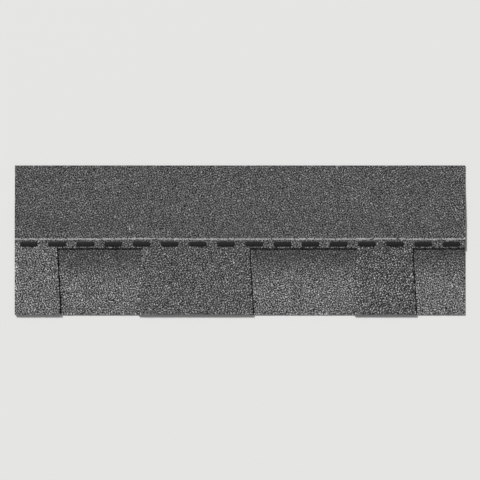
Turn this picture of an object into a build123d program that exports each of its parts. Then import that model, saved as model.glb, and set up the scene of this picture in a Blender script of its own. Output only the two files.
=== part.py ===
# Laminated asphalt shingle, one loose unit lying face up on a level floor.
#
# A full-width top layer has dragon-tooth cut-outs along its butt edge. A narrower backer strip is bonded
# under the teeth and shows in the cut-outs. Lines of laminating adhesive join the two, a row of seal dashes
# waits for the next course, and a release film on the back keeps packed shingles apart.
#
# Millimetres. X runs along the shingle, +Y up the slope from the butt edge, +Z out of the weathered face.
# The origin is on the floor, under the middle of the shingle's length and width.

import os
from math import radians, tan

from build123d import *

# Format of the shingle: 40 in by 13 1/4 in, laid with 5 5/8 in to the weather
shingle_length = 1016.0
shingle_width = 336.5
exposure = 143.0

# Sheets, each an asphalt-coated mat with its surfacing
top_thickness = 2.6
backer_thickness = 2.5

# Dragon teeth, widths measured along the butt edge from the left end
first_tooth = 103.0
first_gap = 175.0
second_tooth = 259.0
second_gap = 228.0
third_tooth = 140.0
tooth_slant = 3.0  # degrees; each cut side leans so that a tooth widens towards the butt edge
cut_past_exposure = 7.0  # the cut-outs end this far under the next course
cutter_overrun = 10.0  # past the butt edge and the shingle's open end
bond_overlap = 28.0  # the backer strip runs this far up past the cut-outs

# Laminating adhesive between the two sheets
bead_thickness = 0.4
bead_width = 8.0
bead_setback = 10.0  # from the butt edge, and from the cut-outs' upper ends
bead_inset = 4.0  # from the cut sides and the shingle's ends
beads_per_tooth = 3

# Seal dashes on the face, just above the cut-outs
dash_length = 40.0
dash_width = 12.0
dash_height = 0.8
dash_gap = 23.5
dash_corner = 4.0
dash_setback = 3.0
dash_end_margin = 10.0

# Release film on the back, just above the backer strip
film_width = 24.0
film_thickness = 0.1
film_setback = 3.0

# The free upper part of the top layer is limp. It comes down in a shallow double bend, and its upper edge
# lies on the floor
floor_strip = 28.5

# Places worked out from the sizes, with Y counted from the butt edge
tooth_depth = exposure + cut_past_exposure
backer_width = tooth_depth + bond_overlap
underside = backer_thickness + bead_thickness
face = underside + top_thickness
level_end = backer_width + film_setback + film_width + film_setback
floor_start = shingle_width - floor_strip
left_end = -shingle_length / 2
right_end = shingle_length / 2

# Axes of the shingle's own drawing: X from the middle, Y from the butt edge
drawing = Location((0, -shingle_width / 2, 0))


def teeth():
    """The left and right side of each tooth at the butt edge. An end of the shingle is cut square."""
    first_side = left_end + first_tooth
    second_side = first_side + first_gap
    third_side = second_side + second_tooth
    fourth_side = third_side + second_gap
    return [
        (left_end, first_side),
        (second_side, third_side),
        (fourth_side, fourth_side + third_tooth),
    ]


def lean(height):
    """How far a cut side has moved into its tooth at this height above the butt edge."""
    return height * tan(radians(tooth_slant))


def tooth_span(tooth, height):
    """The left and right side of a tooth at this height above the butt edge."""
    left, right = tooth
    if left > left_end:
        left += lean(height)
    return left, right - lean(height)


def cut_out(left_tooth, right_tooth):
    """The opening between two teeth, as a cutter that runs past the butt edge and both faces.

    With no tooth to the right, the opening runs out through the shingle's end."""
    corners = []
    for height in (-cutter_overrun, tooth_depth):
        left = tooth_span(left_tooth, height)[1]
        right = tooth_span(right_tooth, height)[0] if right_tooth else right_end + cutter_overrun
        corners.append((left, right, height))
    (a, b, low), (c, d, high) = corners
    outline = make_face(Polyline((a, low), (b, low), (d, high), (c, high), close=True))
    return extrude(outline, face + top_thickness)


def sheet_section():
    """Section of the top layer across its width: level over the backer strip, then down to the floor."""
    middle = top_thickness / 2
    high = underside + middle
    turn = ((level_end + floor_start) / 2, (high + middle) / 2)
    path = [
        Line((0, high), (level_end, high)),
        TangentArc((level_end, high), turn, tangent=(1, 0)),
        TangentArc((floor_start, middle), turn, tangent=(-1, 0)),
        Line((floor_start, middle), (shingle_width, middle)),
    ]
    return trace(path, top_thickness)


def top_layer():
    """The full-width sheet with its dragon teeth."""
    sheet = extrude(Plane.YZ * sheet_section(), shingle_length / 2, both=True)
    cut_from = teeth()
    for left_tooth, right_tooth in zip(cut_from, cut_from[1:] + [None]):
        sheet -= cut_out(left_tooth, right_tooth)
    return sheet


def flat_strip(left, right, low, high, bottom, thickness):
    """A flat strip between two X values and two heights above the butt edge."""
    centre = Pos((left + right) / 2, (low + high) / 2, bottom)
    on_bottom = (Align.CENTER, Align.CENTER, Align.MIN)
    return centre * Box(right - left, high - low, thickness, align=on_bottom)


def backer_strip():
    """The plain strip under the teeth."""
    return flat_strip(left_end, right_end, 0, backer_width, 0, backer_thickness)


def laminating_adhesive():
    """Beads across each tooth, and one unbroken bead above the cut-outs."""
    beads = []
    rows_from = bead_setback
    rows_to = tooth_depth - bead_setback - bead_width
    row_pitch = (rows_to - rows_from) / (beads_per_tooth - 1)
    for tooth in teeth():
        for row in range(beads_per_tooth):
            low = rows_from + row * row_pitch
            high = low + bead_width
            left, right = tooth_span(tooth, high)
            beads.append(
                flat_strip(left + bead_inset, right - bead_inset, low, high, backer_thickness, bead_thickness)
            )
    bond_low = tooth_depth + (bond_overlap - bead_width) / 2
    beads.append(
        flat_strip(
            left_end + bead_inset,
            right_end - bead_inset,
            bond_low,
            bond_low + bead_width,
            backer_thickness,
            bead_thickness,
        )
    )
    return Compound(children=beads)


def seal_dash():
    """One dash: a low bead with a rounded back, on its flat base at the origin, along X."""
    half = dash_width / 2
    back = ThreePointArc((-half, 0), (0, dash_height), (half, 0))
    section = make_face([back, Line((half, 0), (-half, 0))])
    bead = extrude(Plane.YZ * section, dash_length / 2, both=True)
    outline = extrude(RectangleRounded(dash_length, dash_width, dash_corner), dash_height)
    return bead & outline


def seal_strip():
    """The row of dashes, centred along the shingle."""
    pitch = dash_length + dash_gap
    count = int((shingle_length - 2 * dash_end_margin + dash_gap) // pitch)
    height = tooth_depth + dash_setback + dash_width / 2
    dash = seal_dash()
    first = -(count - 1) * pitch / 2
    return Compound(children=[Pos(first + i * pitch, height, face) * dash for i in range(count)])


def release_film():
    """The film band on the underside of the top layer."""
    low = backer_width + film_setback
    return flat_strip(left_end, right_end, low, low + film_width, underside - film_thickness, film_thickness)


os.makedirs("parts", exist_ok=True)
export_step(drawing * top_layer(), "parts/dragon_tooth_layer.step")
export_step(drawing * backer_strip(), "parts/backer_strip.step")
export_step(drawing * laminating_adhesive(), "parts/laminating_adhesive.step")
export_step(drawing * seal_strip(), "parts/seal_strip.step")
export_step(drawing * release_film(), "parts/release_film.step")
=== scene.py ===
# Laminated asphalt shingle, lying face up on a pale floor and seen from straight above.
#
# Metres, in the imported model's own frame. X runs along the shingle, +Y up the slope from the butt edge and
# +Z out of the granule face. "Height" means the distance up the slope from the butt edge.
#
# Each sheet is an asphalt core under a coat of granules. Every granule is a small crooked pyramid of its own
# grey. The sheets' outlines share the same slightly ragged cut lines. Counted from the left end, from 0, the
# teeth have even numbers and the cut-outs odd ones.

import math

import bpy
import numpy as np
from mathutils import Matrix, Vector
from mathutils.geometry import delaunay_2d_cdt


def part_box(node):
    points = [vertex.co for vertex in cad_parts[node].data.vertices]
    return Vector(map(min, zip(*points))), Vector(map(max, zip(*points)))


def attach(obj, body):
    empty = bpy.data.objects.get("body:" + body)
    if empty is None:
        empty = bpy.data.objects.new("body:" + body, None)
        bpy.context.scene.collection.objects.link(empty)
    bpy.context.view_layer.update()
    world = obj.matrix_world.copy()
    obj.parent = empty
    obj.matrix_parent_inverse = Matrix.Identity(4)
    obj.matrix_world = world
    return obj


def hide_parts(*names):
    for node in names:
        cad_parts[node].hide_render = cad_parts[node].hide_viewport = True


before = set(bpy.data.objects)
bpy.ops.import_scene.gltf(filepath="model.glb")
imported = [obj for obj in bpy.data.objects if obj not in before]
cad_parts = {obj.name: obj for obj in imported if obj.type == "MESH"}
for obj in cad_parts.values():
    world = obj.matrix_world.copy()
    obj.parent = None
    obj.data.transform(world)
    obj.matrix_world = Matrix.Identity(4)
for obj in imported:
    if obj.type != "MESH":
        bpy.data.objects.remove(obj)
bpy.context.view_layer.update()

# Places that the frame gives
top_low, top_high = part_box("dragon_tooth_layer")
_, backer_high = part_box("backer_strip")
_, bead_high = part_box("laminating_adhesive")
dash_low, dash_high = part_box("seal_strip")
film_low, film_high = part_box("release_film")

LEFT_END = top_low.x
RIGHT_END = top_high.x
BUTT = top_low.y
WIDTH = top_high.y - top_low.y
FACE = top_high.z
UNDERSIDE = bead_high.z
BACKER_FACE = backer_high.z
BACKER_WIDTH = backer_high.y - BUTT
FILM_START = film_low.y - BUTT
FILM_END = film_high.y - BUTT

# Dragon teeth, as the model has them, with widths at the butt edge from the left end
FIRST_TOOTH = 0.103
FIRST_GAP = 0.175
SECOND_TOOTH = 0.259
SECOND_GAP = 0.228
THIRD_TOOTH = 0.140
TOOTH_DEPTH = 0.150
TOOTH_SLANT = math.radians(3.0)
TEETH = (0, 2, 4)
CUT_OUTS = (1, 3, 5)
SPANS = range(6)
LAST_LINE = 6

# The free upper part of the top layer comes down to the floor past the film, and its upper edge lies in long
# shallow waves
FILM_SETBACK = 0.003
FLOOR_STRIP = 0.0285
LEVEL_END = FILM_END + FILM_SETBACK
FLOOR_START = WIDTH - FLOOR_STRIP
EDGE_LIFT = 0.0005
EDGE_WAVE_LENGTH = 0.43
EDGE_WAVE_DRIFT = 0.8
EDGE_DRIFT_RATE = 9.0

# Cut lines: the pitch of their points, how far these stray along the line as a share of it, and across it
RIM_PITCH = 0.0012
RIM_STRAY = 0.25
RAGGEDNESS = 0.00012

# Pitch of the points inside a sheet. Points are joined only inside its outline, and those this near are one
CORE_PITCH = 0.012
INSIDE_ONLY = 1
SAME_PLACE = 1e-9

# Uneven waves, with their lengths as shares of the typical one
WAVE_COUNT = 7
WAVE_SPREAD = (0.7, 1.5)

# Granules, bedded in the face of each sheet, with their levels from the sheet's own face
GRANULE_AREA = 2.65e-6
GRANULES_IN_ALL = (RIGHT_END - LEFT_END) * WIDTH / GRANULE_AREA
GRAVEL_SEED = 12
SETTLING_ROUNDS = 4
RIM_CLEARANCE = 0.0006
COAT_DEPTH = 0.0008
PEAK_LEVELS = (-0.00028, 0.00014)
VALLEY_LEVELS = (-0.00064, -0.00042)
RIM_LEVELS = (-0.00050, -0.00012)
SHIFT = 0.00014

# How far each point stands out of the asphalt, up to 1 on a peak
RIM_RELIEF = 0.5
VALLEY_RELIEF = 0.35

# Granules that stand proud of a coat, as a share of those in it
LOOSE_SHARE = 0.06
LOOSE_RADII = (0.00048, 0.00085)
LOOSE_RISES = (0.00034, 0.00052)
LOOSE_CROOKEDNESS = 0.00016
LOOSE_TILT = 0.25
LOOSE_BEDDING = 0.00022

# Blends of granules, as greys from 0 to 255 on each tooth and in each cut-out. A blend is mixed from light,
# middling and nearly black granules. The fewer light ones, the lighter they are
BLEND_GREYS = (106.7, 104.3, 90.4, 105.4, 89.4, 106.7)
LIGHT_SHARES = (0.251, 0.246, 0.207, 0.259, 0.176, 0.271)
HEADLAP_GREY = 84.5
HEADLAP_LIGHT_SHARE = 0.285
LIGHT_SUM = 0.75
MIDDLING_SHARE = 0.35
MIDDLING_TONE = 1.0
BLACK_TONE = 0.05
COAT_GAIN = 1.02
GRANULE_SPREAD = 0.25
LIGHTEST_GRANULE = 0.75
ASPHALT_TONE = 0.012
GRANULE_GLOSS = 0.25

# Light granules lie in small clusters
CLUSTER_LENGTH = 0.0046
CLUSTERING = 0.6
CLUSTER_WAVES = 150
CLUSTER_SEED = 11

# Faint clouds in the blends: strength, length and seed of each kind
CLOUDS = ((0.025, 0.050, 7), (0.010, 0.012, 8))

# Where the teeth's blends end, between the cut-outs and the headlap, and the plain band above the cut-outs
BLEND_END = 0.163
BLEND_END_SCATTER = 0.003
BLEND_END_STRAY = 0.002
BLEND_END_WAVE = 0.05
BLEND_END_SEED = 9
BAND_GREY = 94.0

# Light and dark places in the blends, some of them painted light and shade
# Shade band: darker granules towards each cut-out's upper end, deepened with painted shade such as a course
# above would cast
SHADE_BAND_START = 0.064
SHADE_BAND_END = 0.146
SHADE_BAND_TONE = 0.43
# Painted shadow: a dark line in the cut-out along each tooth's right side, where the tooth's shadow falls
PAINTED_SHADOW_WIDTH = 0.0026
PAINTED_SHADOW_TONE = 0.07
# Painted highlight along each tooth's left side, which faces the light
LIT_SIDE_WIDTH = 0.013
LIT_SIDE_GAIN = 0.34
TOOTH_SHADE_START = 0.07
TOOTH_SHADE = 0.12
WALL_TONE = 0.4

# Nail line, painted between the seal dashes and the backer's upper edge
NAIL_LINE = 0.1705
NAIL_LINE_WIDTH = 0.0032
NAIL_LINE_COVER = 0.85
NAIL_LINE_STRAY = 0.0003
NAIL_LINE_WAVE = 0.2
NAIL_LINE_SEED = 10
NAIL_PAINT = 0.5
NAIL_PAINT_SPREAD = (0.7, 1.1)

# Soft strips: pitch along them, steps round a corner, lengths over tau of the waves in their sides and backs,
# how deep those in a back are, and how much of its rise a strip still has at its ends
STRIP_PITCH = 0.0035
CORNER_STEPS = 6
LOWER_SIDE_WAVES = (0.0021, 0.0054)
UPPER_SIDE_WAVES = (0.0024, 0.0047)
BACK_WAVE = 0.004
BACK_SWELL = 0.05
END_SHARE = 0.2

# Seal dashes, as the model has them, but bedded among the granules, with soft ends and uneven sides
DASH_PITCH = 0.0635
DASH_LENGTH = 0.040
DASH_CORNER = 0.004
DASH_BEDDING = 0.0005
DASH_END_RISE = 0.003
DASH_STRAY = 0.0004
DASH_SEED = 21
SEALANT_GLOSS = 0.2
DOME_STEPS = 15

# Laminating beads, as the model has them, but with uneven sides that are squeezed out in the middle
BEAD_WIDTH = 0.008
BEAD_SETBACK = 0.010
BEAD_INSET = 0.004
BEADS_PER_TOOTH = 3
BEAD_ROUNDNESS = 0.45
BEAD_FLAT = 0.94
BEAD_STRAY = 0.0008
BEAD_SEED = 22

# Mineral dusting on asphalt: where in the noise bare asphalt ends with none, how much lower that is with a
# full one, how far above it the dusting closes, and how uneven its roughness is
BARE_END = 0.66
DUST_GAIN = 0.3
DUST_STEP = 0.12
ROUGHNESS_SPREAD = 0.12

# Low blisters in the release film
BLISTER_RISE = 0.00006
BLISTER_LENGTH = 0.08
BLISTER_START = 0.4
BLISTER_SEED = 31

# Camera and light, both as in the photograph
PHOTO_WIDTH = 1.0822
LENS = 100.0
SENSOR = 36.0
VIEW_DEPTH = 1000.0
SUN_DIRECTION = (-0.9, 1.4, 1.0)
SUN_SPREAD = math.radians(10.0)
SUN_SHARE = 0.74
SKY_SHARE = 0.26

# Floor, wide enough to fill the picture in views from 12 degrees up
FLOOR_REACH = 80.0
FLOOR_COLOUR = (0.78, 0.78, 0.77, 1.0)
FLOOR_ROUGHNESS = 0.9

# Slot and replaced node of each layer
TOP = ("granule_sheet", "dragon_tooth_layer")
BACKER = ("backer_sheet", "backer_strip")
SEAL = ("seal_asphalt", "seal_strip")
ADHESIVE = ("asphalt_adhesive", "laminating_adhesive")
FILM = ("film", "release_film")


# Sums


def linear(grey):
    """The linear value of a grey from 0 to 255."""
    return ((grey / 255.0 + 0.055) / 1.055) ** 2.4


def smoothstep(low, high, value):
    """0 up to the low limit, 1 from the high one on, and a soft rise between them."""
    share = np.clip((value - low) / (high - low), 0.0, 1.0)
    return share * share * (3.0 - 2.0 * share)


def swell(x, y, length, seed, count=WAVE_COUNT):
    """Smooth uneven waves about zero, of about unit size and with this typical length."""
    draw = np.random.default_rng(seed)
    total = np.zeros_like(x)
    for _ in range(count):
        way = draw.uniform(0.0, math.tau)
        turn = math.tau / (length * draw.uniform(*WAVE_SPREAD))
        total += np.sin((x * math.cos(way) + y * math.sin(way)) * turn + draw.uniform(0.0, math.tau))
    return total / math.sqrt(count / 2.0)


# Faces of the sheets


def drop(height):
    """How far the top layer has come down at this height: two equal arcs, one each way."""
    run = FLOOR_START - LEVEL_END
    half_run = run / 2.0
    half_drop = UNDERSIDE / 2.0
    radius = (half_run**2 + half_drop**2) / (2.0 * half_drop)
    along = np.clip(height - LEVEL_END, 0.0, run)
    down = radius - np.sqrt(radius**2 - np.minimum(along, half_run) ** 2)
    up = radius - np.sqrt(radius**2 - np.minimum(run - along, half_run) ** 2)
    return np.where(along < half_run, down, UNDERSIDE - up)


def lift(x, height):
    """How far the limp upper part rises off its even bend, in long shallow waves."""
    drift = EDGE_WAVE_DRIFT * np.sin(x * EDGE_DRIFT_RATE)
    wave = 0.5 + 0.5 * np.sin(x * math.tau / EDGE_WAVE_LENGTH + drift)
    return EDGE_LIFT * wave * smoothstep(LEVEL_END, WIDTH, height)


def top_face(x, height):
    return FACE - drop(height) + lift(x, height)


def backer_face(x, height):
    return np.full_like(x, BACKER_FACE)


def film_back(x, height):
    blister = BLISTER_RISE * (swell(x, height, BLISTER_LENGTH, BLISTER_SEED) - BLISTER_START).clip(min=0.0)
    return film_low.z - blister


def lowered(face, depth):
    """The face, this far down."""
    return lambda x, height: face(x, height) - depth


# Outlines


def tooth_lines(height):
    """X of the left end, the five cut sides and the right end, at each of these heights, as columns."""
    lean = np.minimum(height, TOOTH_DEPTH) * math.tan(TOOTH_SLANT)
    widths = (FIRST_TOOTH, FIRST_GAP, SECOND_TOOTH, SECOND_GAP, THIRD_TOOTH)
    lines = [np.full_like(height, LEFT_END)]
    place = LEFT_END
    for side, width in enumerate(widths):
        place += width
        lines.append(place - lean if side % 2 == 0 else place + lean)
    lines.append(np.full_like(height, RIGHT_END))
    return np.stack(lines, 1)


def span_at(x, height):
    """The number of the tooth or cut-out at each place. Above the cut-outs, it is as at their upper ends."""
    return (x[:, None] > tooth_lines(height)[:, 1:-1]).sum(1)


def ragged(start, end, draw, outer=True):
    """Points along a cut line. An outer edge is ragged only to its left, which is inwards."""
    start, end = np.array(start), np.array(end)
    way = end - start
    length = np.hypot(*way)
    count = max(2, round(length / RIM_PITCH))
    share = np.arange(count + 1.0)
    share[1:-1] += draw.uniform(-RIM_STRAY, RIM_STRAY, count - 1)
    offset = draw.uniform(0.0 if outer else -RAGGEDNESS, RAGGEDNESS, count + 1)
    offset[[0, -1]] = 0.0
    left = np.array([-way[1], way[0]]) / length
    return start + way * (share / count)[:, None] + left * offset[:, None]


def loop(*lines):
    """A closed outline from lines that follow one another, anticlockwise."""
    return np.concatenate([line[:-1] for line in lines])


def outlines(draw):
    """The outlines of the top sheet, the three cut-outs, the whole backer, and its part under the teeth."""
    low = tooth_lines(np.zeros(1))[0]
    high = tooth_lines(np.full(1, TOOTH_DEPTH))[0]

    def butt_line(k):
        return ragged((low[k], 0.0), (low[k + 1], 0.0), draw)

    def side_line(k):
        return ragged((low[k], 0.0), (high[k], TOOTH_DEPTH), draw, k == LAST_LINE)

    def head_line(k):
        return ragged((high[k], TOOTH_DEPTH), (high[k + 1], TOOTH_DEPTH), draw, False)

    def rest(width):
        """From the last cut-out's upper end, round the far edge at this height, to the first corner."""
        right, left = RIGHT_END, LEFT_END
        corners = ((right, TOOTH_DEPTH), (right, width), (left, width), (left, 0.0))
        return [ragged(start, end, draw) for start, end in zip(corners, corners[1:])]

    def toothed(butts, far):
        """Along these butt lines and round each cut-out, then along the far lines."""
        lines = []
        for k in TEETH:
            if k:
                lines.append(side[k][::-1])
            lines += [butts[k], side[k + 1], head[k + 1]]
        return loop(*lines, *far)

    butt = [butt_line(k) for k in SPANS]
    covered = {k: butt_line(k) for k in TEETH}
    side = {k: side_line(k) for k in range(1, LAST_LINE + 1)}
    head = {k: head_line(k) for k in CUT_OUTS}
    top_far, backer_far = rest(WIDTH), rest(BACKER_WIDTH)
    cut_outs = [loop(butt[k], side[k + 1], head[k][::-1], side[k][::-1]) for k in CUT_OUTS]
    backer_butt = [covered[k] if k in covered else butt[k] for k in SPANS]
    backer = loop(*backer_butt, side[LAST_LINE], *backer_far)
    return toothed(butt, top_far), cut_outs, backer, toothed(covered, backer_far)


def film_outline(draw):
    corners = ((LEFT_END, FILM_START), (RIGHT_END, FILM_START), (RIGHT_END, FILM_END), (LEFT_END, FILM_END))
    return loop(*(ragged(start, end, draw) for start, end in zip(corners, corners[1:] + corners[:1])))


def ring_edges(loops):
    """The edges of closed outlines whose points are joined into one list."""
    edges = []
    start = 0
    for ring in loops:
        count = len(ring)
        edges += [(start + n, start + (n + 1) % count) for n in range(count)]
        start += count
    return edges


# Whether each place is on a piece, and this far from its edges


def on_top_sheet(x, height, clearance):
    beside = np.abs(x[:, None] - tooth_lines(height))
    off_ends = (beside[:, [0, -1]].min(1) > clearance) & (height > clearance) & (height < WIDTH - clearance)
    on_tooth = (span_at(x, height) % 2 == 0) & (beside[:, 1:-1].min(1) > clearance)
    return off_ends & (on_tooth | (height > TOOTH_DEPTH + clearance))


def in_cut_out(x, height, clearance):
    beside = np.abs(x[:, None] - tooth_lines(height)).min(1) > clearance
    off_ends = (height > clearance) & (height < TOOTH_DEPTH - clearance)
    return beside & off_ends & (span_at(x, height) % 2 == 1)


def on_backer(x, height, clearance):
    beside = np.minimum(x - LEFT_END, RIGHT_END - x) > clearance
    return beside & (height > clearance) & (height < BACKER_WIDTH - clearance)


def under_teeth(x, height, clearance):
    return on_backer(x, height, clearance) & on_top_sheet(x, height, clearance)


def on_film(x, height, clearance):
    across = (height > FILM_START + clearance) & (height < FILM_END - clearance)
    return across & (x > LEFT_END + clearance) & (x < RIGHT_END - clearance)


# Points and triangles


def scattered(draw, count, inside, clearance):
    """Places drawn evenly over the whole shingle, less those that aren't inside."""
    x = draw.uniform(LEFT_END, RIGHT_END, count)
    height = draw.uniform(0.0, WIDTH, count)
    kept = inside(x, height, clearance)
    return np.stack([x[kept], height[kept]], 1)


def grid_inside(inside, low=0.0, high=math.inf):
    """Even places inside, between two heights."""
    across = np.arange(LEFT_END, RIGHT_END, CORE_PITCH)
    grid = np.stack(np.meshgrid(across, np.arange(0.0, WIDTH, CORE_PITCH)), -1).reshape(-1, 2)
    clearance = CORE_PITCH / 4.0
    between = (grid[:, 1] > low + clearance) & (grid[:, 1] < high - clearance)
    return grid[inside(*grid.T, clearance) & between]


def triangulated(points, edges):
    """Triangles that join these points inside these closed edges, anticlockwise."""
    vectors = [Vector(point) for point in points.tolist()]
    _, _, faces, origins, _, _ = delaunay_2d_cdt(vectors, edges, [], INSIDE_ONLY, SAME_PLACE)
    source = np.array([origin[0] for origin in origins])
    return source[np.array(faces)]


# The granules


def granule_mix(x, height, draw, rank):
    """How light each granule is beside its blend, from its place and its rank from 0, dark, to 1, light."""
    light_share = np.array(LIGHT_SHARES)[span_at(x, height)]
    light_share = np.where(height > BLEND_END, HEADLAP_LIGHT_SHARE, light_share)
    light = rank > 1.0 - light_share
    middling = rank > 1.0 - light_share - MIDDLING_SHARE
    level = np.where(light, LIGHT_SUM / light_share, np.where(middling, MIDDLING_TONE, BLACK_TONE))
    return level * np.exp(GRANULE_SPREAD * draw.standard_normal(len(rank)) - GRANULE_SPREAD**2 / 2.0)


def unlike_neighbours(draw, begin, end, count):
    """A random number for each point, of about unit size and unlike those that edges join it to."""
    value = draw.standard_normal(count)
    around = np.bincount(begin, value[end], count) / np.bincount(begin, minlength=count).clip(min=1)
    return (value - around) / (value - around).std()


def clustered(x, height, value):
    """Ranks from 0 to 1 for these random numbers, drawn together into small clusters."""
    clusters = swell(x, height, CLUSTER_LENGTH, CLUSTER_SEED, CLUSTER_WAVES)
    mixed = CLUSTERING * clusters + math.sqrt(1.0 - CLUSTERING**2) * value
    return mixed.argsort().argsort() / len(mixed)


class Gravel:
    """The granules of one face.

    Their peaks are scattered, then settled apart. They and the outline's points are joined into triangles,
    and the middle of each triangle is a low point between granules. The facets go from each point to the low
    points of two neighbouring triangles. owner is the point whose granule each facet belongs to."""

    def __init__(self, loops, inside, draw):
        rim = np.concatenate(loops)
        edges = ring_edges(loops)
        peaks = scattered(draw, round(GRANULES_IN_ALL), inside, RIM_CLEARANCE)
        for _ in range(SETTLING_ROUNDS):
            peaks = self.settled(rim, peaks, edges)
        points = np.concatenate([rim, peaks])
        triangles = triangulated(points, edges)
        middles = points[triangles].mean(1)

        begin, end, third = (np.roll(triangles, -turn, 1).ravel() for turn in range(3))
        triangle = np.repeat(np.arange(len(triangles)), 3)
        side, other_way = begin * len(points) + end, end * len(points) + begin
        order = np.argsort(side)
        beyond = order[np.searchsorted(side, other_way, sorter=order).clip(max=len(side) - 1)]
        shared = side[beyond] == other_way
        low_point = triangle + len(points)
        second = np.where(shared, low_point[beyond], end)
        self.facets = np.stack([begin, second, low_point], 1)
        first_peak = len(rim)
        self.owner = np.where(begin >= first_peak, begin, np.where(end >= first_peak, end, third))

        counts = (len(rim), len(peaks), len(middles))
        spans = (RIM_LEVELS, PEAK_LEVELS, VALLEY_LEVELS)
        levels = [draw.uniform(*span, count) for span, count in zip(spans, counts)]
        rim_relief = RIM_RELIEF * draw.random(len(rim))
        valley_relief = VALLEY_RELIEF * draw.random(len(middles)) ** 2
        points = np.concatenate([points, middles])
        points[first_peak:] += draw.uniform(-SHIFT, SHIFT, (len(points) - first_peak, 2))
        self.x, self.height = points.T
        self.level = np.concatenate(levels)
        self.relief = np.concatenate([rim_relief, np.ones(len(peaks)), valley_relief])
        value = unlike_neighbours(draw, begin, end, len(points))
        self.mix = granule_mix(self.x, self.height, draw, clustered(self.x, self.height, value))

    @staticmethod
    def settled(rim, peaks, edges):
        """The peaks, each moved to the middle of the triangles round it."""
        points = np.concatenate([rim, peaks])
        triangles = triangulated(points, edges)
        corners = triangles.ravel()
        count = np.bincount(corners, minlength=len(points))
        middles = points[triangles].mean(1)
        moved = [np.bincount(corners, np.repeat(middle, 3), len(points)) / count for middle in middles.T]
        return np.stack(moved, 1)[len(rim) :]


# The greys of the granules


def blend_of(span):
    """The blend of each tooth or cut-out, as a linear value."""
    return np.array([linear(grey) for grey in BLEND_GREYS])[span]


def clouds(x, height):
    """Faint clouds, as factors about one."""
    factor = 1.0
    for strength, length, seed in CLOUDS:
        factor = factor + strength * swell(x, height, length, seed)
    return factor


def backer_blend(x, height):
    """The blend in the cut-outs: a painted shadow darkens a line along each tooth's right side, and the blend
    darkens upwards into a shade band of darker granules, deepened with painted shade."""
    # Shade band: darker granules, deepened with painted shade
    shade = 1.0 - (1.0 - SHADE_BAND_TONE) * smoothstep(SHADE_BAND_START, SHADE_BAND_END, height)
    # Painted shadow in a line along each tooth's right side
    past_tooth = x[:, None] - tooth_lines(height)[:, 1::2]
    painted_shadow = np.any((past_tooth > 0.0) & (past_tooth < PAINTED_SHADOW_WIDTH), 1)
    return blend_of(span_at(x, height)) * shade * clouds(x, height) * np.where(painted_shadow, PAINTED_SHADOW_TONE, 1.0)


def top_blend(x, height, draw):
    """The blends of the teeth, up to a ragged end, and the plain headlap above them. A tooth has a painted
    highlight along its left side, and is a little darker towards its upper end."""
    span = span_at(x, height)
    from_left = x - np.take_along_axis(tooth_lines(height), span[:, None], 1)[:, 0]
    # Painted highlight along the tooth's left side
    blend = blend_of(span) * (1.0 + LIT_SIDE_GAIN * (1.0 - smoothstep(0.0, LIT_SIDE_WIDTH, from_left)))
    blend = np.where(span % 2 == 0, blend, linear(BAND_GREY))
    blend = blend * (1.0 - TOOTH_SHADE * smoothstep(TOOTH_SHADE_START, TOOTH_DEPTH, height))
    scatter = BLEND_END_SCATTER * draw.standard_normal(len(x))
    stray = BLEND_END_STRAY * swell(x, height, BLEND_END_WAVE, BLEND_END_SEED)
    ragged_end = BLEND_END + scatter + stray
    return np.where(height < ragged_end, blend, linear(HEADLAP_GREY)) * clouds(x, height)


def painted(x, height, tone, draw):
    """The granules' greys, with the nail line painted over most of those it crosses."""
    stray = NAIL_LINE_STRAY * swell(x, height, NAIL_LINE_WAVE, NAIL_LINE_SEED)
    line = np.abs(height - NAIL_LINE - stray) < NAIL_LINE_WIDTH / 2.0
    paint = NAIL_PAINT * draw.uniform(*NAIL_PAINT_SPREAD, len(x))
    return np.where(line & (draw.random(len(x)) < NAIL_LINE_COVER), paint, tone)


def greyed(blend, mix):
    """The tone of each granule, from its blend and its own lightness. None is darker than asphalt."""
    return np.clip(blend * mix * COAT_GAIN, ASPHALT_TONE, LIGHTEST_GRANULE)


# Meshes


def new_object(name, points, corners, sizes, smooth=False):
    """A mesh object from points, and faces given as a flat list of corners and the number of each."""
    mesh = bpy.data.meshes.new(name)
    mesh.vertices.add(len(points))
    mesh.vertices.foreach_set("co", np.asarray(points, np.float32).ravel())
    mesh.loops.add(len(corners))
    mesh.loops.foreach_set("vertex_index", np.asarray(corners, np.int32))
    starts = np.concatenate([[0], np.cumsum(sizes)[:-1]])
    mesh.polygons.add(len(sizes))
    mesh.polygons.foreach_set("loop_start", starts.astype(np.int32))
    mesh.polygons.foreach_set("use_smooth", np.full(len(sizes), smooth))
    mesh.update(calc_edges=True)
    obj = bpy.data.objects.new(name, mesh)
    bpy.context.scene.collection.objects.link(obj)
    return obj


def values(obj, name, domain, numbers):
    """A named number on each point or face, which the material reads."""
    attribute = obj.data.attributes.new(name, "FLOAT", domain)
    attribute.data.foreach_set("value", np.asarray(numbers, np.float32))


def bake_map(obj, uv):
    """The map that holds this piece's baked colours in other programs."""
    layer = obj.data.uv_layers.new(name="OFBake")
    layer.data.foreach_set("uv", np.asarray(uv, np.float32).ravel())


def finish_piece(obj, materials, replaces):
    """Its materials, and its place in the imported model."""
    for material in materials:
        obj.data.materials.append(material)
    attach(obj, "root")
    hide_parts(replaces)


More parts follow.
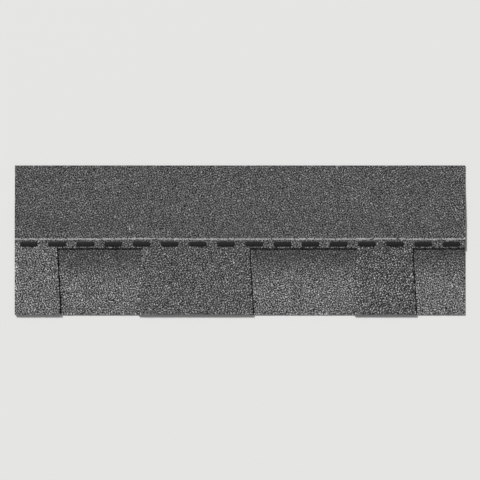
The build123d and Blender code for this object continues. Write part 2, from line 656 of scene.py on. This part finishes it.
class Folding:
    """A plan view that fills a square: cut across into strips of even length, laid one above another."""

    margin = 0.004

    def __init__(self, x, height):
        self.low = np.array([x.min(), height.min()])
        self.span = np.array([x.max(), height.max()]) - self.low
        self.strips = max(1, round(math.sqrt(self.span[0] / self.span[1])))

    def strip_of(self, x):
        share = (x - self.low[0]) / self.span[0]
        return np.clip(share * self.strips, 0, self.strips - 1).astype(int)

    def place(self, x, height, strip):
        along = (x - self.low[0]) / self.span[0] * self.strips - strip
        up = (height - self.low[1]) / self.span[1]
        u = self.margin + along * (1.0 - 2.0 * self.margin)
        v = (strip + self.margin + up * (1.0 - 2.0 * self.margin)) / self.strips
        return np.stack([u, v], -1)


def coat(name, gravel, chosen, inner, face, tones, material, slot, replaces):
    """The chosen facets as a closed shell, with walls down to the core and an underside that rests on it.

    inner holds places under the shell, for the underside."""
    facets, owner = gravel.facets[chosen], gravel.owner[chosen]
    size = len(gravel.x)
    begin, end = facets.ravel(), np.roll(facets, -1, 1).ravel()
    lone = ~np.isin(begin * size + end, end * size + begin)
    begin, end = begin[lone], end[lone]
    rim_owner = np.repeat(owner, 3)[lone]
    used, rim = np.unique(facets), np.unique(begin)
    place, foot = np.full(size, -1), np.full(size, -1)
    place[used] = np.arange(len(used))
    foot[rim] = len(used) + np.arange(len(rim))
    walls = np.stack([place[end], place[begin], foot[begin], foot[end]], 1)
    below = np.concatenate([np.stack([gravel.x[rim], gravel.height[rim]], 1), inner])
    rim_edges = np.stack([np.searchsorted(rim, begin), np.searchsorted(rim, end)], 1)
    underside = triangulated(below, rim_edges.tolist())[:, ::-1] + len(used)

    x = np.concatenate([gravel.x[used], below[:, 0]])
    height = np.concatenate([gravel.height[used], below[:, 1]])
    level = np.concatenate([gravel.level[used], np.full(len(below), -COAT_DEPTH)])
    points = np.stack([x, height + BUTT, face(x, height) + level], 1)
    corners = np.concatenate([place[facets].ravel(), walls.ravel(), underside.ravel()])
    sizes = np.repeat([3, 4, 3], [len(facets), len(walls), len(underside)])
    obj = new_object(name, points, corners, sizes)
    tone = [tones[owner], WALL_TONE * tones[rim_owner], np.zeros(len(underside))]
    values(obj, "tone", "FACE", np.concatenate(tone))
    values(obj, "relief", "POINT", np.concatenate([gravel.relief[used], np.zeros(len(below))]))

    # Walls lie just outside their rim on the map, and the hidden underside is in one corner of it
    folding = Folding(x, height)
    strip = folding.strip_of(gravel.x[np.concatenate([np.repeat(owner, 3), np.repeat(rim_owner, 4)])])
    drawn = corners[: len(strip)]
    uv = np.zeros((len(corners), 2))
    uv[: len(strip)] = folding.place(x[drawn], height[drawn], strip)
    outward = np.stack([gravel.height[end] - gravel.height[begin], gravel.x[begin] - gravel.x[end]], 1)
    outward /= np.linalg.norm(outward, axis=1)[:, None]
    wall_uv = uv[facets.size : len(strip)].reshape(-1, 4, 2)
    wall_uv[:, 2:] += outward[:, None] * folding.margin / 2.0
    bake_map(obj, uv.clip(0.0, 1.0))
    finish_piece(obj, [material], replaces)


def loose_granules(name, places, face, tones, draw, material, slot, replaces):
    """Granules that stand proud of the coat: small crooked double pyramids, half bedded."""
    x, height = places.T
    count = len(x)
    radius = draw.uniform(*LOOSE_RADII, (count, 2))
    rise = draw.uniform(*LOOSE_RISES, count)
    corners = np.array([(1, 0, 0), (0, 1, 0), (-1, 0, 0), (0, -1, 0), (0, 0, 1), (0, 0, -1)], float)
    upper = np.array([(0, 1, 4), (1, 2, 4), (2, 3, 4), (3, 0, 4)])
    lower = np.array([(1, 0, 5), (2, 1, 5), (3, 2, 5), (0, 3, 5)])
    body = corners * np.stack([radius[:, 0], radius[:, 1], rise], 1)[:, None, :]
    body += draw.uniform(-LOOSE_CROOKEDNESS, LOOSE_CROOKEDNESS, body.shape)
    tilt = draw.uniform(-LOOSE_TILT, LOOSE_TILT, (count, 2))
    body[:, :, 2] += body[:, :, 0] * tilt[:, :1] + body[:, :, 1] * tilt[:, 1:]
    turn = draw.uniform(0.0, math.tau, count)
    cosine, sine = np.cos(turn)[:, None], np.sin(turn)[:, None]
    point_x = (body[:, :, 0] * cosine - body[:, :, 1] * sine + x[:, None]).ravel()
    point_height = (body[:, :, 0] * sine + body[:, :, 1] * cosine + height[:, None]).ravel()
    point_z = (body[:, :, 2] + (face(x, height) - LOOSE_BEDDING)[:, None]).ravel()
    first = len(corners) * np.arange(count)[:, None, None]
    faces = np.concatenate([(upper + first).reshape(-1, 3), (lower + first).reshape(-1, 3)])
    points = np.stack([point_x, point_height + BUTT, point_z], 1)
    obj = new_object(name, points, faces.ravel(), np.full(len(faces), 3))
    values(obj, "tone", "FACE", np.tile(np.repeat(tones, len(upper)), 2))
    values(obj, "relief", "POINT", np.ones(len(points)))

    # On the map, only the upper facets have room of their own
    folding = Folding(point_x, point_height)
    seen = faces[: len(faces) // 2].ravel()
    strip = folding.strip_of(np.repeat(x, upper.size))
    uv = np.zeros((faces.size, 2))
    uv[: len(seen)] = folding.place(point_x[seen], point_height[seen], strip)
    bake_map(obj, uv.clip(0.0, 1.0))
    finish_piece(obj, [material], replaces)


def slab(name, ring, bottom, top, inside, materials, slot, replaces):
    """A sheet between two surfaces, with cut sides.

    The materials are those of its sides, bottom and top, or the one of them all."""
    plan = np.concatenate([ring, grid_inside(inside)])
    triangles = triangulated(plan, ring_edges([ring]))
    count = len(plan)
    here = np.arange(len(ring))
    after = np.roll(here, -1)
    sides = np.stack([here, after, after + count, here + count], 1)
    x, height = plan.T
    points = [np.stack([x, height + BUTT, surface(x, height)], 1) for surface in (bottom, top)]
    corners = np.concatenate([sides.ravel(), triangles[:, ::-1].ravel(), triangles.ravel() + count])
    sizes = np.repeat([4, 3], [len(sides), 2 * len(triangles)])
    obj = new_object(name, np.concatenate(points), corners, sizes)
    finish_piece(obj, materials, replaces)
    kinds = np.minimum([0, 1, 2], len(materials) - 1)
    kinds = np.repeat(kinds, [len(sides), len(triangles), len(triangles)])
    obj.data.polygons.foreach_set("material_index", kinds.astype(np.int32))


def strayed(along, stray, waves, phases):
    """How far a strip's side is off its line: two waves, one upon the other."""
    return stray * np.sin(along / waves[0] + phases[0]) * np.sin(along / waves[1] + phases[1])


def strips(name, runs, section, end_rise, stray, seed, material, slot, replaces):
    """Soft strips along X. section is the outline across one, as shares of its half width and its rise.

    Each run gives its middle, length, width, corner radius, foot and rise. end_rise is the length over which
    a strip's ends come up to its full rise, or 0, and stray how far its sides are off their lines."""
    draw = np.random.default_rng(seed)
    across, up = np.array(section).T
    points, corners, sizes = [], [], []
    phases = 5  # two for the waves in each side and one for those in the back
    for middle_x, middle_y, length, width, corner, foot, rise in runs:
        inner = np.linspace(corner, length - corner, max(3, round((length - 2.0 * corner) / STRIP_PITCH)))
        rounding = corner * (1.0 - np.cos(np.linspace(0.0, math.pi / 2.0, CORNER_STEPS)[:-1]))
        along = np.concatenate([rounding, inner, length - rounding[::-1]])
        from_end = np.minimum(along, length - along)
        into_corner = np.clip(corner - from_end, 0.0, corner)
        half = width / 2.0 - corner + np.sqrt(corner**2 - into_corner**2)
        phase = draw.uniform(0.0, math.tau, phases)
        low = -half + strayed(along, stray, LOWER_SIDE_WAVES, phase[:2])
        high = half + strayed(along, stray, UPPER_SIDE_WAVES, phase[2:4])
        crown = np.full_like(along, rise)
        if end_rise:
            ends = np.clip(1.0 - from_end / end_rise, 0.0, 1.0)
            crown = rise * (END_SHARE + (1.0 - END_SHARE) * np.sqrt(1.0 - ends**2))
            crown = crown * (1.0 - BACK_SWELL + BACK_SWELL * np.sin(along / BACK_WAVE + phase[4]))
        x = np.repeat((middle_x - length / 2.0 + along)[:, None], len(across), 1)
        y = middle_y + low[:, None] + (high - low)[:, None] * (across + 1.0) / 2.0
        z = foot + crown[:, None] * up
        grid = np.arange(x.size).reshape(x.shape) + sum(len(p) for p in points)
        points.append(np.stack([x, y, z], -1).reshape(-1, 3))
        beside = np.roll(grid, -1, 1)
        quads = np.stack([grid[:-1], beside[:-1], beside[1:], grid[1:]], -1)
        corners += [quads.ravel(), grid[0, ::-1], grid[-1]]
        sizes += [np.full(quads.size // 4, 4), np.full(2, len(across))]
    obj = new_object(name, np.concatenate(points), np.concatenate(corners), np.concatenate(sizes), True)
    finish_piece(obj, [material], replaces)


def dash_runs():
    """The run of each seal dash."""
    count = round((dash_high.x - dash_low.x - DASH_LENGTH) / DASH_PITCH) + 1
    first = dash_low.x + DASH_LENGTH / 2.0
    middle = (dash_low.y + dash_high.y) / 2.0
    width = dash_high.y - dash_low.y
    foot = FACE - DASH_BEDDING
    shape = (DASH_LENGTH, width, DASH_CORNER, foot, dash_high.z - foot)
    return [(first + n * DASH_PITCH, middle, *shape) for n in range(count)]


def bead_runs():
    """The run of each laminating bead: some rows across each tooth, and one unbroken row above them."""
    places = []
    for tooth in TEETH:
        for low in np.linspace(BEAD_SETBACK, TOOTH_DEPTH - BEAD_SETBACK - BEAD_WIDTH, BEADS_PER_TOOTH):
            left, right = tooth_lines(np.full(1, low + BEAD_WIDTH))[0, [tooth, tooth + 1]]
            places.append((left + BEAD_INSET, right - BEAD_INSET, low))
    bond_low = TOOTH_DEPTH + (BACKER_WIDTH - TOOTH_DEPTH - BEAD_WIDTH) / 2.0
    places.append((LEFT_END + BEAD_INSET, RIGHT_END - BEAD_INSET, bond_low))
    shape = (BEAD_WIDTH, BEAD_WIDTH * BEAD_ROUNDNESS, BACKER_FACE, UNDERSIDE - BACKER_FACE)
    return [
        ((left + right) / 2.0, BUTT + low + BEAD_WIDTH / 2.0, right - left, *shape)
        for left, right, low in places
    ]


# Materials


def new_material(name):
    """A material with a Principled shader: the material, its nodes, its links and that shader."""
    material = bpy.data.materials.new(name)
    material.use_nodes = True
    nodes = material.node_tree.nodes
    return material, nodes, material.node_tree.links, nodes["Principled BSDF"]


def add(nodes, kind, **settings):
    """A node with these settings, or with these values on its named sockets."""
    node = nodes.new(kind)
    for key, value in settings.items():
        if hasattr(node, key):
            setattr(node, key, value)
        else:
            node.inputs[key.replace("_", " ")].default_value = value
    return node


def ranged(nodes, links, source, low, high, **settings):
    """A node that brings a source from 0 and 1, or from other limits in the settings, to low and high."""
    node = add(nodes, "ShaderNodeMapRange", To_Min=low, To_Max=high, **settings)
    links.new(source, node.inputs["Value"])
    return node.outputs["Result"]


def combined(nodes, links, operation, first, second):
    """The sum or product of two sources."""
    node = add(nodes, "ShaderNodeMath", operation=operation)
    links.new(first, node.inputs[0])
    links.new(second, node.inputs[1])
    return node.outputs["Value"]


def ramp(nodes, links, source, *stops):
    """A grey for each place along a source. Each stop is a place and its grey."""
    node = nodes.new("ShaderNodeValToRGB")
    for element, (place, grey) in zip(node.color_ramp.elements, stops):
        element.position = place
        element.color = (grey, grey, grey, 1.0)
    links.new(source, node.inputs["Fac"])
    return node.outputs["Color"]


def noise(nodes, links, scale, detail, drawn_out=1.0):
    """Noise in the piece's own space, drawn out along X this many times."""
    place = nodes.new("ShaderNodeTexCoord")
    shrink = add(nodes, "ShaderNodeMapping", Scale=(1.0 / drawn_out, 1.0, 1.0))
    node = add(nodes, "ShaderNodeTexNoise", Scale=scale, Detail=detail)
    links.new(place.outputs["Object"], shrink.inputs["Vector"])
    links.new(shrink.outputs["Vector"], node.inputs["Vector"])
    return node.outputs["Fac"]


def roughen(nodes, links, shader, source, strength, distance):
    """Fine bumps in the surface, from a source."""
    bump = add(nodes, "ShaderNodeBump", Strength=strength, Distance=distance)
    links.new(source, bump.inputs["Height"])
    links.new(bump.outputs["Normal"], shader.inputs["Normal"])


def granule_material():
    """Mineral granules, each in its own grey, with black asphalt showing between them."""
    material, nodes, links, shader = new_material("granules")
    tone = add(nodes, "ShaderNodeAttribute", attribute_name="tone")
    relief = add(nodes, "ShaderNodeAttribute", attribute_name="relief")
    speckle = noise(nodes, links, scale=2600.0, detail=2.0)
    lightness = ranged(nodes, links, speckle, low=0.75, high=1.25, From_Min=0.3, From_Max=0.7)
    grain = combined(nodes, links, "MULTIPLY", tone.outputs["Fac"], lightness)
    asphalt_line = {"From_Min": 0.02, "From_Max": 0.16, "interpolation_type": "SMOOTHSTEP"}
    out_of_asphalt = ranged(nodes, links, relief.outputs["Fac"], low=0.0, high=1.0, **asphalt_line)
    shade = add(nodes, "ShaderNodeMix", data_type="FLOAT")
    links.new(out_of_asphalt, shade.inputs["Factor"])
    shade.inputs["A"].default_value = ASPHALT_TONE
    links.new(grain, shade.inputs["B"])
    links.new(shade.outputs["Result"], shader.inputs["Base Color"])
    links.new(ranged(nodes, links, speckle, low=0.55, high=0.85), shader.inputs["Roughness"])
    shader.inputs["Specular IOR Level"].default_value = GRANULE_GLOSS
    place = nodes.new("ShaderNodeTexCoord")
    facets = add(nodes, "ShaderNodeTexVoronoi", Scale=1700.0)
    links.new(place.outputs["Object"], facets.inputs["Vector"])
    roughen(nodes, links, shader, facets.outputs["Distance"], strength=0.7, distance=0.00012)
    return material


def asphalt_material(name, bare, dusted, thickness, roughness):
    """Black asphalt under a fine mineral dusting, with the grey of each, and how thick the dusting is.

    The dusting is a little thicker here and there, and mat fibres run through it."""
    material, nodes, links, shader = new_material(name)
    dust = noise(nodes, links, scale=1500.0, detail=3.0)
    clumps = noise(nodes, links, scale=38.0, detail=5.0)
    patches = ranged(nodes, links, clumps, low=-0.07, high=0.07)
    threads = noise(nodes, links, scale=420.0, detail=2.0, drawn_out=7.0)
    fibres = ranged(nodes, links, threads, low=-0.06, high=0.06)
    uneven = combined(nodes, links, "ADD", patches, fibres)
    dusting = combined(nodes, links, "ADD", uneven, dust)
    bare_end = BARE_END - DUST_GAIN * thickness
    grey = ramp(nodes, links, dusting, (bare_end, bare), (bare_end + DUST_STEP, dusted))
    links.new(grey, shader.inputs["Base Color"])
    spread = ROUGHNESS_SPREAD
    dullness = ranged(nodes, links, dust, low=roughness - spread, high=roughness + spread)
    links.new(dullness, shader.inputs["Roughness"])
    roughen(nodes, links, shader, dusting, strength=0.6, distance=0.00015)
    return material


def sealant_material():
    """Black sealant with a dull gloss, a little uneven, with a thin dusting."""
    material, nodes, links, shader = new_material("sealant")
    flow = noise(nodes, links, scale=260.0, detail=3.0)
    dust = noise(nodes, links, scale=2400.0, detail=2.0)
    links.new(ramp(nodes, links, dust, (0.58, 0.010), (0.75, 0.05)), shader.inputs["Base Color"])
    links.new(ranged(nodes, links, flow, low=0.45, high=0.75), shader.inputs["Roughness"])
    shader.inputs["Specular IOR Level"].default_value = SEALANT_GLOSS
    roughen(nodes, links, shader, flow, strength=0.6, distance=0.0003)
    return material


def film_material():
    """Thin glossy release film over the dark back, creased along the shingle."""
    material, nodes, links, shader = new_material("release_film")
    creases = noise(nodes, links, scale=340.0, detail=5.0, drawn_out=9.0)
    links.new(ramp(nodes, links, creases, (0.35, 0.11), (0.68, 0.30)), shader.inputs["Base Color"])
    links.new(ranged(nodes, links, creases, low=0.14, high=0.34), shader.inputs["Roughness"])
    roughen(nodes, links, shader, creases, strength=0.35, distance=0.0003)
    return material


def floor_material():
    """Plain and pale, and the same all over."""
    material, _, _, shader = new_material("floor")
    shader.inputs["Base Color"].default_value = FLOOR_COLOUR
    shader.inputs["Roughness"].default_value = FLOOR_ROUGHNESS
    return material


# Surroundings


def add_camera():
    """A camera that looks straight down, with the photograph's scale at the shingle's face."""
    data = bpy.data.cameras.new("camera")
    data.lens = LENS
    data.sensor_width = SENSOR
    data.clip_end = VIEW_DEPTH
    obj = bpy.data.objects.new("camera", data)
    bpy.context.scene.collection.objects.link(obj)
    obj.location = (0.0, 0.0, FACE + PHOTO_WIDTH * LENS / SENSOR)
    bpy.context.scene.camera = obj


def add_light():
    """Soft sunlight from the upper left, and an even sky."""
    direction = Vector(SUN_DIRECTION).normalized()
    data = bpy.data.lights.new("sun", "SUN")
    data.energy = SUN_SHARE * math.pi / direction.z
    data.angle = SUN_SPREAD
    obj = bpy.data.objects.new("sun", data)
    bpy.context.scene.collection.objects.link(obj)
    obj.rotation_mode = "QUATERNION"
    obj.rotation_quaternion = direction.to_track_quat("Z", "Y")
    world = bpy.data.worlds.new("sky")
    world.use_nodes = True
    background = world.node_tree.nodes["Background"]
    background.inputs["Color"].default_value = (1.0, 1.0, 1.0, 1.0)
    background.inputs["Strength"].default_value = SKY_SHARE
    bpy.context.scene.world = world


def add_floor():
    """The floor, which isn't part of the model."""
    reach = FLOOR_REACH
    mesh = bpy.data.meshes.new("floor")
    corners = [(-reach, -reach, 0.0), (reach, -reach, 0.0), (reach, reach, 0.0), (-reach, reach, 0.0)]
    mesh.from_pydata(corners, [], [(0, 1, 2, 3)])
    obj = bpy.data.objects.new("floor", mesh)
    bpy.context.scene.collection.objects.link(obj)
    mesh.materials.append(floor_material())


granules = granule_material()
cut_edge = asphalt_material("cut_edge", bare=0.010, dusted=0.09, thickness=0.30, roughness=0.6)
back_dust = asphalt_material("back_dust", bare=0.018, dusted=0.12, thickness=0.45, roughness=0.8)
adhesive = asphalt_material("laminating_asphalt", bare=0.008, dusted=0.02, thickness=0.2, roughness=0.4)
sealant = sealant_material()
film_finish = film_material()

# The two faces' granules, and the grey of each
shuffle = np.random.default_rng(GRAVEL_SEED)
top_ring, cut_out_rings, backer_ring, covered_ring = outlines(shuffle)
top_gravel = Gravel([top_ring], on_top_sheet, shuffle)
backer_gravel = Gravel(cut_out_rings, in_cut_out, shuffle)
top_tones = greyed(top_blend(top_gravel.x, top_gravel.height, shuffle), top_gravel.mix)
top_tones = painted(top_gravel.x, top_gravel.height, top_tones, shuffle)
backer_tones = greyed(backer_blend(backer_gravel.x, backer_gravel.height), backer_gravel.mix)

# Granule coats: the teeth, the band that is bonded to the backer, the headlap in three parts, the cut-outs
owner_height = top_gravel.height[top_gravel.owner]
names = ("tooth", "bond_band", "lower_headlap", "middle_headlap", "upper_headlap")
headlap_limits = np.linspace(BACKER_WIDTH, WIDTH, 4)[:-1]
limits = (0.0, TOOTH_DEPTH, *headlap_limits, math.inf)
for name, low, high in zip(names, limits, limits[1:]):
    chosen = (owner_height >= low) & (owner_height < high)
    inner = grid_inside(on_top_sheet, low, high)
    coat(name + "_granules", top_gravel, chosen, inner, top_face, top_tones, granules, *TOP)
every_facet = np.ones(len(backer_gravel.facets), bool)
inner = grid_inside(in_cut_out)
coat("cut_out_granules", backer_gravel, every_facet, inner, backer_face, backer_tones, granules, *BACKER)

# Granules that stand proud of the coats
for name, inside, face, blend, layer in (
    ("top_loose_granules", on_top_sheet, top_face, lambda x, height: top_blend(x, height, shuffle), TOP),
    ("cut_out_loose_granules", in_cut_out, backer_face, backer_blend, BACKER),
):
    places = scattered(shuffle, round(GRANULES_IN_ALL * LOOSE_SHARE), inside, 2.0 * RIM_CLEARANCE)
    rank = clustered(*places.T, shuffle.standard_normal(len(places)))
    mix = granule_mix(*places.T, shuffle, rank)
    tones = greyed(blend(*places.T), mix)
    loose_granules(name, places, face, tones, shuffle, granules, *layer)

# Cores of the two sheets, and the backer's face where the teeth cover it
top_back = lowered(top_face, FACE - UNDERSIDE)
top_core_face = lowered(top_face, COAT_DEPTH)
backer_back = lowered(backer_face, BACKER_FACE)
backer_core_face = lowered(backer_face, COAT_DEPTH)
core_materials = [cut_edge, back_dust, cut_edge]
face_materials = [cut_edge, cut_edge, back_dust]
slab("tooth_sheet_core", top_ring, top_back, top_core_face, on_top_sheet, core_materials, *TOP)
slab("backer_core", backer_ring, backer_back, backer_core_face, on_backer, core_materials, *BACKER)
slab("backer_covered_face", covered_ring, backer_core_face, backer_face, under_teeth, face_materials, *BACKER)

# Seal dashes and laminating beads, with the outline across each
dome = [(-1.0, 0.0)] + [(math.cos(t), math.sin(t)) for t in np.linspace(0.0, math.pi, DOME_STEPS)[:-1]]
strips("seal_dashes", dash_runs(), dome, DASH_END_RISE, DASH_STRAY, DASH_SEED, sealant, *SEAL)
right_half = [(BEAD_FLAT, 0.0), (1.0, 0.5), (BEAD_FLAT, 1.0)]
squeezed = [(-BEAD_FLAT, 0.0), *right_half, (-BEAD_FLAT, 1.0), (-1.0, 0.5)]
strips("laminating_beads", bead_runs(), squeezed, 0.0, BEAD_STRAY, BEAD_SEED, adhesive, *ADHESIVE)

# Release film, with a few low blisters under the sheet
film_front = lowered(film_back, film_low.z - film_high.z)
slab("release_film_band", film_outline(shuffle), film_back, film_front, on_film, [film_finish], *FILM)

add_camera()
add_light()
add_floor()
bpy.context.scene.view_settings.view_transform = "Standard"
